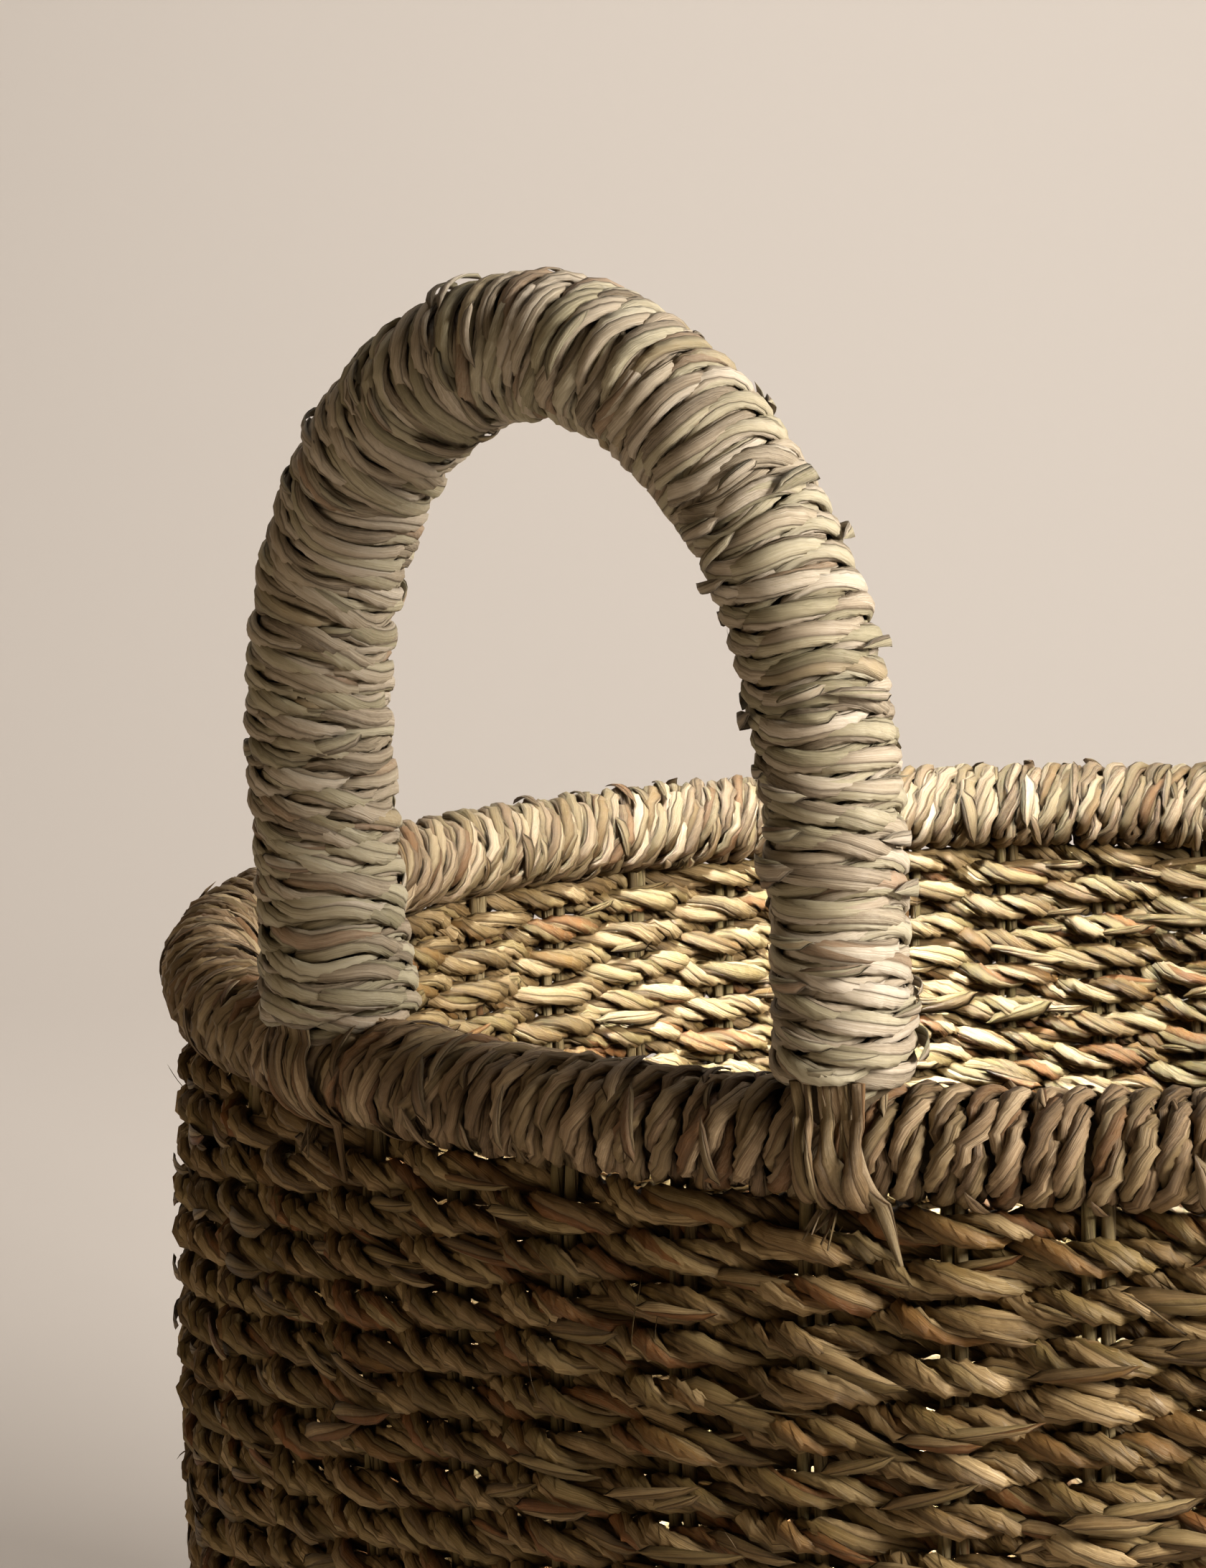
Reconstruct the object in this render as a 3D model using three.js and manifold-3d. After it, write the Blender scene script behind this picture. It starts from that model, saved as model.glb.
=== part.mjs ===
// A round seagrass storage basket: a woven wall on upright stakes, a thick wrapped rim
// and two wrapped arch handles that face each other.
// Millimetres, +Z up. The origin is on the floor under the middle of the basket, and the
// handles stand at +X and -X.
import * as THREE from "three";
import { mergeVertices } from "three/addons/utils/BufferGeometryUtils.js";
import Module from "manifold-3d";

const wasm = await Module();
wasm.setup();

// ---- Driving dimensions ----

// Overall
const RIM_RADIUS = 212; // middle of the basket to the middle of the rim
const BODY_HEIGHT = 320; // floor to the top of the rim

// Rim: a wire hoop, a bundle of grass round it, and a cord wrapped round both
const RIM_THICKNESS = 25;
const RIM_CORD = 3.7; // how thick the wrapped cord lies on the rim
const WIRE_DIAMETER = 6; // the hoop, and the rod inside each handle
const SLOT_HALF_ANGLE = THREE.MathUtils.degToRad(25); // the rim is open below, for the stakes

// Handles
const HANDLE_SPREAD = 129.5; // between the middles of a handle's two feet
const HANDLE_RISE = 155; // middle of the rim to the middle of the grip, along the handle
const HANDLE_LEG = 66; // the straight stretch of each leg
const HANDLE_THICKNESS = 31;
const HANDLE_CORD = 3.7;
const HANDLE_LEAN = THREE.MathUtils.degToRad(4.2); // outwards from upright
const FOOT_LIFT = 4; // middle of the rim to the lower edge of a handle's padding

// Wall: stakes, and courses of weft that pass each stake on alternate sides
const STAKE_COUNT = 48;
const STAKE_WIDTH = 7;
const STAKE_THICKNESS = 3;
const COURSE_COUNT = 10;
const BELLY_COURSE = 7; // the wall is widest above this many courses
const WEFT_THICKNESS = 4;
const TOP_SWELL = 1.5; // the top of the weft, outside the middle of the rim
const BELLY_SWELL = 4; // the widest course, outside the middle of the rim
const BASE_INSET = 5; // the foot of the wall, inside the middle of the rim
const LIGHT_GAP = 5; // the open band between the rim and the first course

// Base: the stakes run in to a ring at the middle, between two layers of weft
const BASE_UNDER = 2;
const BASE_UPPER = 4;
const HUB_RADIUS = 57;
const HUB_WIDTH = 10;

// Lashing: flat raw strips that bind each handle's foot to the rim
const LASHING_WIDTH = 24;
const LASHING_THICKNESS = 1.5;
const LASHING_DROP = 42; // middle of the rim to the cut end of the strips
const LASHING_START = THREE.MathUtils.degToRad(5); // above the rim's outermost line
const LASHING_END = THREE.MathUtils.degToRad(-48); // where the strips leave the rim

// Clearances
const GAP = 0.3; // between pieces that touch on the real basket
const WEAVE_GAP = 0.5; // between a stake and the weft that passes it
const LASHING_GAP = 0.8; // between the flat strips and the round rim and wall

// ---- Worked out from them ----
const rimZ = BODY_HEIGHT - RIM_THICKNESS / 2;
const rimOuter = RIM_THICKNESS / 2;
const rimCoreOuter = rimOuter - RIM_CORD - GAP;
const wireRadius = WIRE_DIAMETER / 2;
const coreBore = wireRadius + 0.6; // its flats clear the wire's corners

const footX = Math.sqrt(RIM_RADIUS ** 2 - (HANDLE_SPREAD / 2) ** 2);
const footAngle = Math.asin(HANDLE_SPREAD / 2 / RIM_RADIUS);
const handleOuter = HANDLE_THICKNESS / 2;
const handleCoreOuter = handleOuter - HANDLE_CORD - 2 * GAP;

const spokeLow = BASE_UNDER + GAP;
const spokeHigh = spokeLow + STAKE_THICKNESS;
const weftLow = spokeHigh + GAP;
const weftHigh = BODY_HEIGHT - RIM_THICKNESS - LIGHT_GAP;
const courseStep = (weftHigh - weftLow) / COURSE_COUNT;
const bellyZ = weftLow + BELLY_COURSE * courseStep;
const weftOffset = STAKE_THICKNESS / 2 + WEAVE_GAP + WEFT_THICKNESS / 2;
const wallHalf = weftOffset + WEFT_THICKNESS / 2;
const stakeTop = rimZ - wireRadius - GAP - (STAKE_THICKNESS / 2 + GAP) / Math.tan(SLOT_HALF_ANGLE);

const baseRadius = RIM_RADIUS - BASE_INSET;
const bellyRadius = RIM_RADIUS + BELLY_SWELL;
const topRadius = RIM_RADIUS + TOP_SWELL;

// The middle of the wall at a height: one cone up to the belly and one from there to the top.
function wallRadius(z) {
  if (z <= bellyZ) return THREE.MathUtils.mapLinear(z, weftLow, bellyZ, baseRadius, bellyRadius);
  return THREE.MathUtils.mapLinear(z, bellyZ, weftHigh, bellyRadius, topRadius);
}

// ---- Finishes ----
const finish = (color, roughness, metalness = 0) => ({ color, roughness, metalness });
const STEEL = finish(0x6f6c68, 0.45, 0.9);
const GRASS_BUNDLE = finish(0xa08a62, 0.85);
const RIM_GRASS = finish(0x8f735a, 0.7);
const HANDLE_GRASS = finish(0xb79b76, 0.6);
const WALL_GRASS = finish(0x84694a, 0.8);
const STAKE_GRASS = finish(0xa98f62, 0.75);
const RAW_STRIP = finish(0x96683c, 0.65);

// ---- Shape helpers ----

// A polygon of points round the origin, for extruded outlines.
function ringOfPoints(radius, sides) {
  return Array.from({ length: sides }, (_, i) => {
    const turn = (i / sides) * 2 * Math.PI;
    return new THREE.Vector2(radius * Math.cos(turn), radius * Math.sin(turn));
  });
}

// Points along an arc about a centre, from one angle to another, both ends included.
function arcPoints(centreX, centreY, radius, from, to, steps) {
  return Array.from({ length: steps + 1 }, (_, i) => {
    const turn = from + ((to - from) * i) / steps;
    return new THREE.Vector2(centreX + radius * Math.cos(turn), centreY + radius * Math.sin(turn));
  });
}

// Turn a closed outline of (radius, height) points once round the Z axis.
function turned(outline) {
  const lathe = new THREE.LatheGeometry([...outline, outline[0]], STAKE_COUNT);
  return lathe.rotateX(Math.PI / 2);
}

// Skin a row of outlines that have the same number of points. A closed row joins its last
// outline to its first, and an open one gets two end caps.
function loft(outlines, closed) {
  const sides = outlines[0].length;
  const rows = outlines.length;
  const index = [];
  for (let row = 0; row < (closed ? rows : rows - 1); row++) {
    for (let side = 0; side < sides; side++) {
      const a = row * sides + side;
      const b = row * sides + ((side + 1) % sides);
      const c = ((row + 1) % rows) * sides + ((side + 1) % sides);
      const d = ((row + 1) % rows) * sides + side;
      index.push(a, b, c, a, c, d);
    }
  }
  if (!closed) {
    const last = (rows - 1) * sides;
    for (let side = 1; side < sides - 1; side++) {
      index.push(0, side + 1, side);
      index.push(last, last + side, last + side + 1);
    }
  }
  const geometry = new THREE.BufferGeometry();
  const points = outlines.flat().flatMap((p) => [p.x, p.y, p.z]);
  geometry.setAttribute("position", new THREE.Float32BufferAttribute(points, 3));
  geometry.setIndex(index);
  geometry.computeVertexNormals();
  return geometry;
}

function toSolid(geometry) {
  const bare = geometry.index ? geometry.toNonIndexed() : geometry.clone();
  bare.deleteAttribute("normal");
  bare.deleteAttribute("uv");
  const merged = mergeVertices(bare, 1e-3);
  return new wasm.Manifold(
    new wasm.Mesh({
      numProp: 3,
      vertProperties: merged.attributes.position.array,
      triVerts: new Uint32Array(merged.index.array),
    }),
  );
}

function toGeometry(solid) {
  const mesh = solid.getMesh();
  const geometry = new THREE.BufferGeometry();
  geometry.setAttribute("position", new THREE.Float32BufferAttribute(mesh.vertProperties, 3));
  geometry.setIndex([...mesh.triVerts]);
  geometry.computeVertexNormals();
  return geometry;
}

function cutFrom(geometry, cutters) {
  const cut = cutters.reduce((left, cutter) => left.subtract(toSolid(cutter)), toSolid(geometry));
  return toGeometry(cut);
}

function piece(name, geometry, surface) {
  const mesh = new THREE.Mesh(geometry, new THREE.MeshStandardMaterial(surface));
  mesh.name = name;
  return mesh;
}

// ---- Handle line ----

// A handle's centreline from a height above the middle of the rim: a straight leg, half an
// ellipse and a straight leg, in the YZ plane.
class HandleLine extends THREE.Curve {
  constructor(startHeight) {
    super();
    this.startHeight = startHeight;
  }

  getPoint(t, target = new THREE.Vector3()) {
    const legShare = 0.2; // of the whole curve, for each leg
    const half = HANDLE_SPREAD / 2;
    const legEnd = t < 0.5 ? t : 1 - t;
    const sideways = t < 0.5 ? -1 : 1;
    if (legEnd < legShare) {
      const z = THREE.MathUtils.mapLinear(legEnd, 0, legShare, this.startHeight, HANDLE_LEG);
      return target.set(0, sideways * half, z);
    }
    const turn = ((t - legShare) / (1 - 2 * legShare)) * Math.PI;
    const arch = HANDLE_RISE - HANDLE_LEG;
    return target.set(0, -half * Math.cos(turn), HANDLE_LEG + arch * Math.sin(turn));
  }
}

const HANDLE_STEPS = 17;
const BORE_SIDES = 8;

// A tube or rod along a handle's line, leaned out and set on the rim at +X.
function alongHandle(startHeight, outer, outerSides, bore = 0) {
  const section = new THREE.Shape(ringOfPoints(outer, outerSides));
  if (bore > 0) section.holes.push(new THREE.Path(ringOfPoints(bore, BORE_SIDES).reverse()));
  const swept = new THREE.ExtrudeGeometry(section, {
    steps: HANDLE_STEPS,
    extrudePath: new HandleLine(startHeight),
  });
  return onHandle(swept);
}

// From the handle's own frame, in which it stands upright at the origin, to the basket's.
function onHandle(geometry) {
  return geometry.rotateY(HANDLE_LEAN).translate(footX, 0, rimZ);
}

// A round cutter on one of a handle's legs, from the middle of the rim upwards.
function legCutter(sideways, radius, height) {
  const cutter = new THREE.CylinderGeometry(radius, radius, height, 12);
  cutter.rotateX(Math.PI / 2).translate(0, (sideways * HANDLE_SPREAD) / 2, height / 2);
  return onHandle(cutter);
}

// ---- Rim ----
const SECTION_STEPS = 6;
const WRAP_STEPS = 8;
const slotFrom = -Math.PI / 2 + SLOT_HALF_ANGLE;
const slotTo = (3 * Math.PI) / 2 - SLOT_HALF_ANGLE;

// A ring of C section round the rim's middle line, open below.
function openRing(outer, outerSteps, inner) {
  const outside = arcPoints(RIM_RADIUS, rimZ, outer, slotFrom, slotTo, outerSteps);
  const inside = arcPoints(RIM_RADIUS, rimZ, inner, slotTo, slotFrom, SECTION_STEPS);
  return turned([...outside, ...inside]);
}

// A whole ring of round section on the rim's middle line.
function roundRing(radius, steps) {
  return turned(arcPoints(RIM_RADIUS, rimZ, radius, 0, 2 * Math.PI, steps).slice(0, -1));
}

// Both handles' rods pass down through the rim's cord and bundle to the hoop.
function rodHoles() {
  const holes = [];
  for (const sideways of [-1, 1]) {
    const hole = legCutter(sideways, coreBore, RIM_THICKNESS);
    holes.push(hole, hole.clone().rotateZ(Math.PI));
  }
  return holes;
}

function makeRim() {
  const rim = new THREE.Group();
  const coreRing = openRing(rimCoreOuter, SECTION_STEPS, coreBore);
  const cordRing = openRing(rimOuter, WRAP_STEPS, rimCoreOuter + GAP);
  rim.add(piece("rim_hoop", roundRing(wireRadius, SECTION_STEPS), STEEL));
  rim.add(piece("rim_core", cutFrom(coreRing, rodHoles()), GRASS_BUNDLE));
  rim.add(piece("rim_wrap", cutFrom(cordRing, rodHoles()), RIM_GRASS));
  return rim;
}

// ---- Handles ----
function makeHandle(side) {
  const handle = new THREE.Group();
  const seat = roundRing(rimOuter + GAP, 2 * WRAP_STEPS);
  const rod = alongHandle(wireRadius + GAP, wireRadius, BORE_SIDES);
  const core = cutFrom(alongHandle(FOOT_LIFT, handleCoreOuter, BORE_SIDES, coreBore), [seat]);
  const wrap = cutFrom(alongHandle(FOOT_LIFT, handleOuter, 12, handleCoreOuter + 2 * GAP), [seat]);
  handle.add(piece(`handle_${side}_rod`, rod, STEEL));
  handle.add(piece(`handle_${side}_core`, core, GRASS_BUNDLE));
  handle.add(piece(`handle_${side}_wrap`, wrap, HANDLE_GRASS));
  handle.add(makeLashing(`foot_lashing_${side}_front`, -footAngle));
  handle.add(makeLashing(`foot_lashing_${side}_back`, footAngle));
  return handle;
}

// Flat strips round the outside of the rim under a handle's foot, with their ends hanging
// against the wall.
function makeLashing(name, turn) {
  const near = rimOuter + LASHING_GAP;
  const far = near + LASHING_THICKNESS;
  const dropZ = rimZ - LASHING_DROP;
  const dropRadius = wallRadius(dropZ) + wallHalf + LASHING_GAP;
  const inside = arcPoints(RIM_RADIUS, rimZ, near, LASHING_START, LASHING_END, 5);
  const outside = arcPoints(RIM_RADIUS, rimZ, far, LASHING_END, LASHING_START, 5);
  const outline = [
    ...inside,
    new THREE.Vector2(dropRadius, dropZ),
    new THREE.Vector2(dropRadius + LASHING_THICKNESS, dropZ),
    ...outside,
  ];
  const band = new THREE.ExtrudeGeometry(new THREE.Shape(outline), {
    depth: LASHING_WIDTH,
    bevelEnabled: false,
  });
  band.translate(0, 0, -LASHING_WIDTH / 2).rotateX(Math.PI / 2);
  const lashing = piece(name, band, RAW_STRIP);
  lashing.rotation.z = turn;
  return lashing;
}

// ---- Wall ----
const stakeTurn = (k) => (k / STAKE_COUNT) * 2 * Math.PI;

function polar(radius, turn, z) {
  return new THREE.Vector3(radius * Math.cos(turn), radius * Math.sin(turn), z);
}

// One course of weft: outside every second stake and inside the ones between.
function makeCourse(number) {
  const low = weftLow + (number - 1) * courseStep;
  const high = low + courseStep - GAP;
  const outlines = [];
  for (let k = 0; k < STAKE_COUNT; k++) {
    const offset = (k + number) % 2 === 0 ? weftOffset : -weftOffset;
    const near = offset - WEFT_THICKNESS / 2;
    const far = offset + WEFT_THICKNESS / 2;
    outlines.push([
      polar(wallRadius(low) + near, stakeTurn(k), low),
      polar(wallRadius(high) + near, stakeTurn(k), high),
      polar(wallRadius(high) + far, stakeTurn(k), high),
      polar(wallRadius(low) + far, stakeTurn(k), low),
    ]);
  }
  const label = String(number).padStart(2, "0");
  return piece(`weft_course_${label}`, loft(outlines, true), WALL_GRASS);
}

// A stake's section where it is upright: a flat diamond, long along the wall.
function stakeSection(radius, z) {
  return [
    new THREE.Vector3(radius - STAKE_THICKNESS / 2, 0, z),
    new THREE.Vector3(radius, -STAKE_WIDTH / 2, z),
    new THREE.Vector3(radius + STAKE_THICKNESS / 2, 0, z),
    new THREE.Vector3(radius, STAKE_WIDTH / 2, z),
  ];
}

// All the stakes as one cage: each runs out from the ring in the base, turns up, follows the
// wall and ends in the slot under the rim.
function makeStakes() {
  const upright = loft(
    [
      stakeSection(wallRadius(spokeLow), spokeLow),
      stakeSection(bellyRadius, bellyZ),
      stakeSection(topRadius, weftHigh),
      stakeSection(RIM_RADIUS, stakeTop),
    ],
    false,
  );
  const spokeLength = baseRadius + STAKE_THICKNESS / 2 - HUB_RADIUS;
  const spoke = new THREE.BoxGeometry(spokeLength, STAKE_WIDTH, STAKE_THICKNESS);
  spoke.translate(HUB_RADIUS + spokeLength / 2, 0, spokeLow + STAKE_THICKNESS / 2);
  const hub = turned([
    new THREE.Vector2(HUB_RADIUS - HUB_WIDTH / 2, spokeLow),
    new THREE.Vector2(HUB_RADIUS + HUB_WIDTH / 2, spokeLow),
    new THREE.Vector2(HUB_RADIUS + HUB_WIDTH / 2, spokeHigh),
    new THREE.Vector2(HUB_RADIUS - HUB_WIDTH / 2, spokeHigh),
  ]);
  let cage = toSolid(hub);
  for (let k = 0; k < STAKE_COUNT; k++) {
    for (const part of [upright, spoke]) cage = cage.add(toSolid(part.clone().rotateZ(stakeTurn(k))));
  }
  return piece("stake_cage", toGeometry(cage), STAKE_GRASS);
}

// ---- Base ----
function disc(name, radius, low, high) {
  const round = turned([
    new THREE.Vector2(0, low),
    new THREE.Vector2(radius, low),
    new THREE.Vector2(radius, high),
    new THREE.Vector2(0, high),
  ]);
  return piece(name, round, WALL_GRASS);
}

function makeBase() {
  const base = new THREE.Group();
  const facet = Math.cos(Math.PI / STAKE_COUNT); // the flats of the wall's plan lie inside its corners
  const innerFace = (baseRadius - wallHalf) * facet - GAP;
  base.add(disc("base_weft_under", baseRadius + wallHalf, 0, BASE_UNDER));
  base.add(disc("base_weft_upper", innerFace, weftLow, weftLow + BASE_UPPER));
  return base;
}

// ---- Assembly ----
const basket = new THREE.Group();
basket.add(makeRim());
basket.add(makeHandle("right"));
const left = makeHandle("left");
left.rotation.z = Math.PI;
basket.add(left);
basket.add(makeStakes());
for (let number = 1; number <= COURSE_COUNT; number++) basket.add(makeCourse(number));
basket.add(makeBase());

export default basket;
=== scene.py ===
# %% [markdown]
# # A seagrass storage basket
# The basket is woven from one material, twisted seagrass cord, used in three ways: woven
# over and under upright stalks for the wall, and wound side by side round the rim and the
# two handles. So this lesson builds one tool first, a node group that lays two twisted
# plies of leaf along any line, and then draws a line for each place where cord is used.

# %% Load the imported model
import math
import random

import bpy
from mathutils import Matrix, Vector


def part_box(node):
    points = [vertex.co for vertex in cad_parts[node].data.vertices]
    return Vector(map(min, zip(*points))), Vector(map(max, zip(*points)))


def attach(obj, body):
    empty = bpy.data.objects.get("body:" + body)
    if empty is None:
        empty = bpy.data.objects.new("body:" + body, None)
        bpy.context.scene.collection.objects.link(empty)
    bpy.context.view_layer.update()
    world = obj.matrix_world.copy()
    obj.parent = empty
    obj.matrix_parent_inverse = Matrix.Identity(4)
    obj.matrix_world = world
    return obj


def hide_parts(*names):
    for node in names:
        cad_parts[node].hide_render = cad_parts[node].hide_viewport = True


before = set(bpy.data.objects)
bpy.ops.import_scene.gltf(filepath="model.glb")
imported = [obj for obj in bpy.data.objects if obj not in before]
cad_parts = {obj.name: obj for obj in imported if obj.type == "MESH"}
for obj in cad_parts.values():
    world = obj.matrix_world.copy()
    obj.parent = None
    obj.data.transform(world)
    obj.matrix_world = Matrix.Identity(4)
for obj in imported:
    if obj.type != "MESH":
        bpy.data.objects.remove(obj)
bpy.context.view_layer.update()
MM = 0.001
print("the packed model has", len(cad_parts), "nodes")

# %% [markdown]
# ## Sizes
# The solids give the basket its sizes: the rim's radius and height, the arch of the handles
# and the band that the weave fills. They could be typed in again here, but then a change to
# the solids would leave the cord behind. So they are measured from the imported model, and
# only the sizes of the cord itself are new.

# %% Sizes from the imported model
rim_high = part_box("rim_wrap")[1]
hoop_low, hoop_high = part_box("rim_hoop")
rod_low, rod_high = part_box("handle_right_rod")
grip_low, grip_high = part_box("handle_right_wrap")
RIM_Z = (hoop_low.z + hoop_high.z) / 2
WIRE_RADIUS = (hoop_high.z - hoop_low.z) / 2
RIM_RADIUS = hoop_high.x - WIRE_RADIUS
RIM_TUBE = rim_high.z - RIM_Z
WEFT_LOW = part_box("weft_course_01")[0].z
WEFT_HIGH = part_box("weft_course_10")[1].z
HANDLE_HALF = (rod_high.y - rod_low.y) / 2 - WIRE_RADIUS
FOOT_X = math.sqrt(RIM_RADIUS**2 - HANDLE_HALF**2)
HANDLE_LEAN = math.radians(4.2)
HANDLE_LEG = 66 * MM
HANDLE_RISE = (rod_high.z - WIRE_RADIUS - RIM_Z) / math.cos(HANDLE_LEAN)
HANDLE_TUBE = (grip_high.y - grip_low.y) / 2 - HANDLE_HALF
STAKES = 48
UP = Vector((0, 0, 1))
HALF_TURN = Matrix.Rotation(math.pi, 4, "Z")
print(f"rim radius {RIM_RADIUS:.4f} m at height {RIM_Z:.4f} m, handle rise {HANDLE_RISE:.4f} m")


# %% [markdown]
# ## Writing nodes as expressions
# The shapes and the finishes both need a lot of node maths. The nodes could be placed and
# linked one by one, which takes a page for each formula. Geometry and shader trees share
# their maths nodes, so one small class wraps an output instead: `a * 2 + b` adds the Math
# nodes it needs, or Vector Math nodes where a vector is involved. `Nodes.add` makes any
# other node: its settings first, then its inputs.

# %% A value in a tree
class Value:
    def __init__(self, nodes, socket):
        self.nodes = nodes
        self.socket = socket

    def is_vector(self):
        return self.socket.type in ("VECTOR", "RGBA")

    def also(self, output):
        """Another output of the same node."""
        return Value(self.nodes, find_socket(self.socket.node.outputs, output))

    def maths(self, operation, *operands):
        values = (self, *operands)
        if any(isinstance(v, Value) and v.is_vector() for v in values):
            values = [(v, v, v) if isinstance(v, (int, float)) else v for v in values]
            return self.nodes.add("ShaderNodeVectorMath", {"operation": operation}, values)
        return self.nodes.add("ShaderNodeMath", {"operation": operation}, values)

    def __add__(self, other):
        return self.maths("ADD", other)

    def __radd__(self, other):
        return self + other

    def __sub__(self, other):
        return self.maths("SUBTRACT", other)

    def __rsub__(self, other):
        return self * -1 + other

    def __mul__(self, other):
        if self.is_vector() and not (isinstance(other, Value) and other.is_vector()):
            if not isinstance(other, tuple):
                inputs = {"Vector": self, "Scale": other}
                return self.nodes.add("ShaderNodeVectorMath", {"operation": "SCALE"}, inputs)
        if isinstance(other, Value) and other.is_vector() and not self.is_vector():
            return other * self
        return self.maths("MULTIPLY", other)

    def __rmul__(self, other):
        return self * other

    def __truediv__(self, other):
        return self.maths("DIVIDE", other)

    def __pow__(self, other):
        return self.maths("POWER", other)

    def __mod__(self, other):
        return self.maths("FLOORED_MODULO", other)

    def __gt__(self, other):
        return self.maths("GREATER_THAN", other)

    def __lt__(self, other):
        return self.maths("LESS_THAN", other)

    def sin(self):
        return self.maths("SINE")

    def cos(self):
        return self.maths("COSINE")

    def floor(self):
        return self.maths("FLOOR")

    def round(self):
        return self.maths("ROUND")

    def abs(self):
        return self.maths("ABSOLUTE")

    def least(self, other):
        return self.maths("MINIMUM", other)

    def clamped(self):
        """Kept between 0 and 1."""
        self.socket.node.use_clamp = True
        return self

    def dot(self, other):
        made = self.nodes.add("ShaderNodeVectorMath", {"operation": "DOT_PRODUCT"}, (self, other))
        return made.also("Value")

    def cross(self, other):
        return self.maths("CROSS_PRODUCT", other)

    def unit(self):
        return self.maths("NORMALIZE")

    def part(self, axis):
        """One component, x, y or z."""
        return self.nodes.add("ShaderNodeSeparateXYZ", {}, (self,)).also(axis.upper())


# %% Any node by one method
def find_socket(sockets, key):
    if isinstance(key, int):
        return sockets[key]
    named = [s for s in sockets if key in (s.name, s.identifier) and not s.is_unavailable]
    return named[0]


class Nodes:
    def __init__(self, tree):
        self.tree = tree

    def add(self, kind, settings=None, inputs=()):
        """A node of that type: settings first, then inputs by place or by name."""
        node = self.tree.nodes.new(kind)
        for name, setting in (settings or {}).items():
            if name == "stops":
                self.set_stops(node.color_ramp.elements, setting)
            else:
                setattr(node, name, setting)
        pairs = inputs.items() if isinstance(inputs, dict) else enumerate(inputs)
        for key, value in pairs:
            socket = find_socket(node.inputs, key)
            if isinstance(value, Value):
                self.tree.links.new(value.socket, socket)
            else:
                socket.default_value = value
        shown = [s for s in node.outputs if not s.is_unavailable]
        return Value(self, shown[0]) if shown else node

    def set_stops(self, elements, stops):
        """A colour ramp's stops, each a place and a colour, in rising order."""
        while len(elements) > 1:
            elements.remove(elements[-1])
        elements[0].position = stops[0][0]
        elements[0].color = (*stops[0][1], 1)
        for place, colour in stops[1:]:
            elements.new(place).color = (*colour, 1)

    def vector(self, x=0.0, y=0.0, z=0.0):
        return self.add("ShaderNodeCombineXYZ", {}, (x, y, z))

    def outward(self, angle):
        """The level direction at an angle round the basket, of length 1."""
        return self.vector(angle.cos(), angle.sin(), 0.0)

    def mix(self, factor, first, second):
        """A colour between two: the second one where the factor is 1."""
        inputs = {"Factor": factor, "A": first, "B": second}
        return self.add("ShaderNodeMix", {"data_type": "RGBA"}, inputs)

    def chance(self, low, high, seed):
        """A random number for each element."""
        inputs = {"Min_001": low, "Max_001": high, "Seed": seed}
        return self.add("FunctionNodeRandomValue", {"data_type": "FLOAT"}, inputs)

    def noise(self, place, scale, detail=0.0, w=None, rough=0.5):
        """Smooth noise from -1 to 1 at a place."""
        sizes = {"noise_dimensions": "3D" if w is None else "4D"}
        inputs = {"Vector": place, "Scale": scale, "Detail": detail, "Roughness": rough}
        if w is not None:
            inputs["W"] = w
        return self.add("ShaderNodeTexNoise", sizes, inputs) * 2 - 1


# %% [markdown]
# ## Geometry Nodes helpers
# Cord repeats hundreds of times and always follows a rule, which is what Geometry Nodes are
# for. The modifier could stay live on each piece, but a finished piece should be a plain
# mesh. So a tree is made once, with named inputs, and then run as often as it is needed:
# running it puts it on an empty mesh as a modifier, sets the inputs, and keeps the result.

# %% Tree helpers
KINDS = {float: "NodeSocketFloat", int: "NodeSocketInt", str: "NodeSocketString"}


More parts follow.
